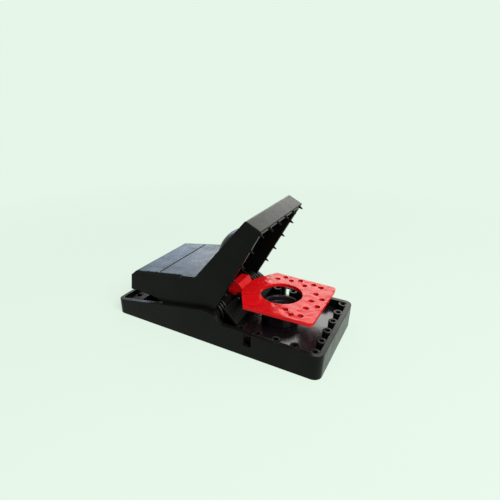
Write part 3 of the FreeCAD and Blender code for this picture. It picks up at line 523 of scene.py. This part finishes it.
def raised_deck(material):
    """The polished deck under the pedal, with a round hole for the bait cup."""
    sizes = bpy.context.scene.trap_deck
    low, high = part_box("bait_cup")
    centre_x = (low[0] + high[0]) / 2
    radius = sizes.cup_radius + sizes.deck_gap
    curve = bpy.data.curves.new("tray_deck", "CURVE")
    curve.dimensions = "2D"
    curve.fill_mode = "BOTH"
    curve.extrude = sizes.deck_plate / 2
    plan = [(sizes.deck_rear, -sizes.deck_side), (sizes.deck_front, -sizes.deck_side),
            (sizes.deck_front, sizes.deck_side), (sizes.deck_rear, sizes.deck_side)]
    turns = [math.tau * step / ROUND_FACES for step in range(ROUND_FACES)]
    hole = [(centre_x + radius * math.cos(turn), radius * math.sin(turn)) for turn in turns]
    for outline in (plan, hole):
        spline = curve.splines.new("POLY")
        spline.points.add(len(outline) - 1)
        for point, (x, y) in zip(spline.points, outline):
            point.co = (x, y, 0, 1)
        spline.use_cyclic_u = True
    pattern = bpy.data.objects.new("tray_deck_plan", curve)
    bpy.context.scene.collection.objects.link(pattern)
    bpy.context.view_layer.update()
    mesh = bpy.data.meshes.new_from_object(pattern.evaluated_get(bpy.context.evaluated_depsgraph_get()))
    bpy.data.objects.remove(pattern)
    mesh.transform(Matrix.Translation((0, 0, sizes.deck_top - sizes.deck_plate / 2)))
    mesh.materials.clear()
    mesh.materials.append(material)
    piece = bpy.data.objects.new("tray_deck", mesh)
    bpy.context.scene.collection.objects.link(piece)
    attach(piece, "base")


# Operators

class TRAP_OT_base_tray(bpy.types.Operator):
    """Finishes the tray, its ears, sockets and spring guard in satin black"""
    bl_idname = "trap.base_tray"
    bl_label = "Base Tray"

    def execute(self, context):
        plastic = context.scene.trap_plastic
        # Satin ABS from a spark-eroded mould: a fine grain scatters the light into a soft grey sheen.
        # The real grain is 0.1 mm wide, and is drawn at 0.3 mm so that it shows.
        material = moulded_plastic(
            "satin_moulded_abs_black", plastic.black, plastic.black_bloom,
            roughness=plastic.tray_roughness, specular=plastic.specular, grain=0.3 * MM,
            grain_depth=0.006 * MM, sink_depth=0.05 * MM, edge_radius=plastic.rim_radius)
        finish_node("base_tray", material)
        return {"FINISHED"}


class TRAP_OT_tray_deck(bpy.types.Operator):
    """Lays the raised deck under the pedal in polished black"""
    bl_idname = "trap.tray_deck"
    bl_label = "Tray Deck"

    def execute(self, context):
        plastic = context.scene.trap_plastic
        # The same ABS from a polished insert: it mirrors the pedal and the light behind the trap.
        # Its purplish black is a painted reflection of the red pedal, laid over what the deck really
        # mirrors.
        material = moulded_plastic(
            "polished_moulded_abs_black", plastic.deck_black_with_painted_red_reflection, plastic.deck_bloom_with_painted_red_reflection,
            roughness=plastic.deck_roughness, specular=plastic.deck_specular, grain=1.2 * MM,
            grain_depth=0.002 * MM, sink_depth=0.03 * MM, edge_radius=plastic.edge_radius)
        raised_deck(material)
        return {"FINISHED"}


class TRAP_OT_jaw_lever(bpy.types.Operator):
    """Finishes the jaw and its press lever in semi-gloss black"""
    bl_idname = "trap.jaw_lever"
    bl_label = "Jaw Lever"

    def execute(self, context):
        plastic = context.scene.trap_plastic
        # Semi-gloss ABS from a polished mould: long soft reflections with a slight orange peel.
        material = moulded_plastic(
            "semi_gloss_moulded_abs_black", plastic.black, plastic.black_bloom,
            roughness=plastic.jaw_roughness, specular=0.85 * plastic.specular, grain=1.2 * MM,
            grain_depth=0.004 * MM, sink_depth=0.03 * MM, edge_radius=plastic.jaw_edge_radius)
        finish_node("jaw_lever", material)
        return {"FINISHED"}


class TRAP_OT_trigger_pedal(bpy.types.Operator):
    """Finishes the trigger pedal in gloss red"""
    bl_idname = "trap.trigger_pedal"
    bl_label = "Trigger Pedal"

    def execute(self, context):
        plastic = context.scene.trap_plastic
        # Gloss ABS dyed through: a saturated red under a pale, broken reflection. Light seeps through
        # its edges, and the deep sink marks between the perforations break up what it mirrors.
        material = moulded_plastic(
            "gloss_moulded_abs_red", plastic.red, plastic.red_deep,
            roughness=plastic.pedal_roughness, specular=1.5 * plastic.specular, grain=1.0 * MM,
            grain_depth=0.005 * MM, sink_depth=0.6 * MM, edge_radius=plastic.edge_radius,
            glow_through=0.35)
        finish_node("trigger_pedal", material)
        return {"FINISHED"}


class TRAP_OT_bait_cup(bpy.types.Operator):
    """Makes the low-rimmed bait cup in near black"""
    bl_idname = "trap.bait_cup"
    bl_label = "Bait Cup"

    def execute(self, context):
        plastic = context.scene.trap_plastic
        # Semi-gloss polypropylene from a polished core: near black, with small glints on its rim.
        # It shares the deck's purplish black, which is a painted reflection of the red pedal.
        material = moulded_plastic(
            "semi_gloss_moulded_polypropylene_black", plastic.deck_black_with_painted_red_reflection, plastic.deck_bloom_with_painted_red_reflection,
            roughness=plastic.pedal_roughness, specular=4 * plastic.specular, grain=0.8 * MM,
            grain_depth=0.004 * MM, sink_depth=0.1 * MM, edge_radius=plastic.edge_radius)
        low_cup(material)
        return {"FINISHED"}


class TRAP_OT_rods(bpy.types.Operator):
    """Finishes the main axle and the trigger pin in bright drawn steel"""
    bl_idname = "trap.rods"
    bl_label = "Axle and Pin"

    def execute(self, context):
        rod_colour = context.scene.trap_springs.rod_colour
        # Zinc-plated drawn steel: bright, with faint lines along the rod.
        material = drawn_steel("zinc_plated_drawn_steel", rod_colour, roughness=0.28, follows_wire=False)
        for node in ("main_axle", "trigger_pin"):
            finish_node(node, material)
        return {"FINISHED"}


class TRAP_OT_springs(bpy.types.Operator):
    """Winds both torsion springs"""
    bl_idname = "trap.springs"
    bl_label = "Springs"

    def execute(self, context):
        wire_colour = context.scene.trap_springs.wire_colour
        # Hard-drawn spring wire: a darker steel than the rods, with draw lines along the wire.
        material = drawn_steel("drawn_spring_wire", wire_colour, roughness=0.4, follows_wire=True)
        tree = spring_tree()
        wind_spring("spring_near", side=-1, tree=tree, material=material)
        wind_spring("spring_far", side=1, tree=tree, material=material)
        return {"FINISHED"}


# Studio

def seen_directly(tree):
    """1 for the camera's, mirrored and see-through rays, which meet the backdrop's plain colour."""
    path = add_node(tree, "ShaderNodeLightPath").outputs
    seen = path["Is Camera Ray"]
    for other in ("Is Glossy Ray", "Is Transmission Ray"):
        seen = add_node(tree, "ShaderNodeMath", {0: seen, 1: path[other]}, operation="MAXIMUM").outputs[0]
    return seen


def add_lamp(name, place, width, height, power, colour):
    """A soft area lamp that points at the trap and that the camera doesn't see."""
    data = bpy.data.lights.new(name, "AREA")
    data.shape = "RECTANGLE"
    data.size = width
    data.size_y = height
    data.energy = power
    data.color = linear(colour)[:3]
    lamp = bpy.data.objects.new(name, data)
    bpy.context.scene.collection.objects.link(lamp)
    lamp.location = place
    lamp.rotation_euler = (Vector(TRAP_MIDDLE) - Vector(place)).to_track_quat("-Z", "Y").to_euler()
    lamp.visible_camera = False
    return lamp


class TRAP_OT_studio(bpy.types.Operator):
    """Sets the camera, lamps, floor and backdrop"""
    bl_idname = "trap.studio"
    bl_label = "Studio"

    def execute(self, context):
        studio = context.scene.trap_studio
        self.place_camera(context, studio)
        self.make_floor(context, studio)
        self.make_world(context, studio)
        # The softbox behind the trap only shows in reflections, as the sheen on lever, jaw and pedal.
        softbox = add_lamp("rear_softbox", place=(-0.16, 0.76, 0.45), width=0.95, height=0.48,
                           power=6.6, colour="#FFFCF6")
        softbox.visible_diffuse = False
        # The window beside it gives the bluish daylight, and the top softbox lights the pedal and the
        # faces that look to the camera.
        add_lamp("window", place=(-0.73, 0.76, 0.25), width=0.3, height=0.2, power=1.15,
                 colour="#C4DAFF")
        add_lamp("top_softbox", place=(0.5, -0.25, 0.65), width=0.5, height=0.5, power=10.0,
                 colour="#FFFFFF")
        context.scene.view_settings.view_transform = "Standard"
        return {"FINISHED"}

    def place_camera(self, context, studio):
        data = bpy.data.cameras.new("camera")
        data.sensor_width = 36
        data.lens = studio.lens
        # The picture's middle lies off the lens's axis.
        data.shift_x = 0.0491
        data.shift_y = 0.0393
        data.clip_start = 0.01
        data.clip_end = 20
        camera = bpy.data.objects.new("camera", data)
        context.scene.collection.objects.link(camera)
        turn = math.radians(studio.azimuth)
        rise = math.radians(studio.elevation)
        roll = math.radians(studio.roll)
        back = Vector((math.sin(turn) * math.cos(rise), -math.cos(turn) * math.cos(rise), math.sin(rise)))
        right = Vector((math.cos(turn), math.sin(turn), 0))
        up = back.cross(right)
        tilted_right = right * math.cos(roll) + up * math.sin(roll)
        tilted_up = up * math.cos(roll) - right * math.sin(roll)
        axes = Matrix((tilted_right, tilted_up, back)).transposed().to_4x4()
        camera.matrix_world = Matrix.Translation(studio.camera_place) @ axes
        context.scene.camera = camera

    def make_floor(self, context, studio):
        mesh = bpy.data.meshes.new("floor")
        far = 6.0
        mesh.from_pydata([(-far, -far, 0), (far, -far, 0), (far, far, 0), (-far, far, 0)], [],
                         [(0, 1, 2, 3)])
        floor = bpy.data.objects.new("floor", mesh)
        context.scene.collection.objects.link(floor)
        # A hair below the trap's underside, so that the two don't flicker through each other
        floor.location = (0, 0, -0.02 * MM)
        # Matte painted board: seen directly it glows in one plain colour, and near the trap a part of
        # the lit board shows through it, which gives the soft shadow.
        material, tree, output, place = start_material("matte_painted_board")
        colour = linear(studio.backdrop)
        lit_colour = tuple(channel * studio.board_share for channel in colour[:3]) + (1.0,)
        matte = add_node(tree, "ShaderNodeBsdfDiffuse", {"Color": lit_colour})
        glow = add_node(tree, "ShaderNodeEmission", {"Color": colour, "Strength": 1.0})
        distance = add_node(tree, "ShaderNodeVectorMath", {0: place}, operation="LENGTH").outputs["Value"]
        shadow_zone = 0.05
        shadow_end = 0.3
        glow_near_trap = 0.7
        evenness = add_node(tree, "ShaderNodeMapRange", {
            "Value": distance, "From Min": shadow_zone, "From Max": shadow_end,
            "To Min": glow_near_trap, "To Max": 1.0})
        share = add_node(tree, "ShaderNodeMath", {0: evenness.outputs["Result"], 1: seen_directly(tree)},
                         operation="MULTIPLY")
        mixed = add_node(tree, "ShaderNodeMixShader", {
            0: share.outputs[0], 1: matte.outputs["BSDF"], 2: glow.outputs["Emission"]})
        tree.links.new(mixed.outputs["Shader"], output.inputs["Surface"])
        mesh.materials.append(material)

    def make_world(self, context, studio):
        world = bpy.data.worlds.new("studio")
        context.scene.world = world
        world.use_nodes = True
        tree = world.node_tree
        tree.nodes.clear()
        output = add_node(tree, "ShaderNodeOutputWorld")
        even = add_node(tree, "ShaderNodeBackground", {
            "Color": (1, 1, 1, 1), "Strength": studio.fill})
        shown = add_node(tree, "ShaderNodeBackground", {
            "Color": linear(studio.backdrop), "Strength": 1.0})
        mixed = add_node(tree, "ShaderNodeMixShader", {
            0: seen_directly(tree), 1: even.outputs["Background"],
            2: shown.outputs["Background"]})
        tree.links.new(mixed.outputs["Shader"], output.inputs["Surface"])


# Panel and registration

class TRAP_PT_panel(bpy.types.Panel):
    """Lists the settings and the steps that finish the trap"""
    bl_label = "Mouse Trap"
    bl_idname = "TRAP_PT_panel"
    bl_space_type = "VIEW_3D"
    bl_region_type = "UI"
    bl_category = "Mouse Trap"

    def draw(self, context):
        for group in (getattr(context.scene, name) for name in SETTINGS):
            box = self.layout.box()
            for name in group.__annotations__:
                box.prop(group, name)
        for operator in OPERATORS:
            self.layout.operator(operator.bl_idname)


SETTINGS = {
    "trap_plastic": PlasticSettings,
    "trap_springs": SpringSettings,
    "trap_deck": DeckSettings,
    "trap_studio": StudioSettings,
}
OPERATORS = (
    TRAP_OT_base_tray,
    TRAP_OT_tray_deck,
    TRAP_OT_jaw_lever,
    TRAP_OT_trigger_pedal,
    TRAP_OT_bait_cup,
    TRAP_OT_rods,
    TRAP_OT_springs,
    TRAP_OT_studio,
)


def register():
    for name, group in SETTINGS.items():
        bpy.utils.register_class(group)
        setattr(bpy.types.Scene, name, PointerProperty(type=group))
    for operator in OPERATORS:
        bpy.utils.register_class(operator)
    bpy.utils.register_class(TRAP_PT_panel)


def unregister():
    bpy.utils.unregister_class(TRAP_PT_panel)
    for operator in reversed(OPERATORS):
        bpy.utils.unregister_class(operator)
    for name, group in SETTINGS.items():
        delattr(bpy.types.Scene, name)
        bpy.utils.unregister_class(group)


def main():
    """Finishes every piece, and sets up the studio."""
    register()
    bpy.ops.trap.base_tray()
    bpy.ops.trap.tray_deck()
    bpy.ops.trap.jaw_lever()
    bpy.ops.trap.trigger_pedal()
    bpy.ops.trap.bait_cup()
    bpy.ops.trap.rods()
    bpy.ops.trap.springs()
    bpy.ops.trap.studio()


if __name__ == "__main__":
    main()
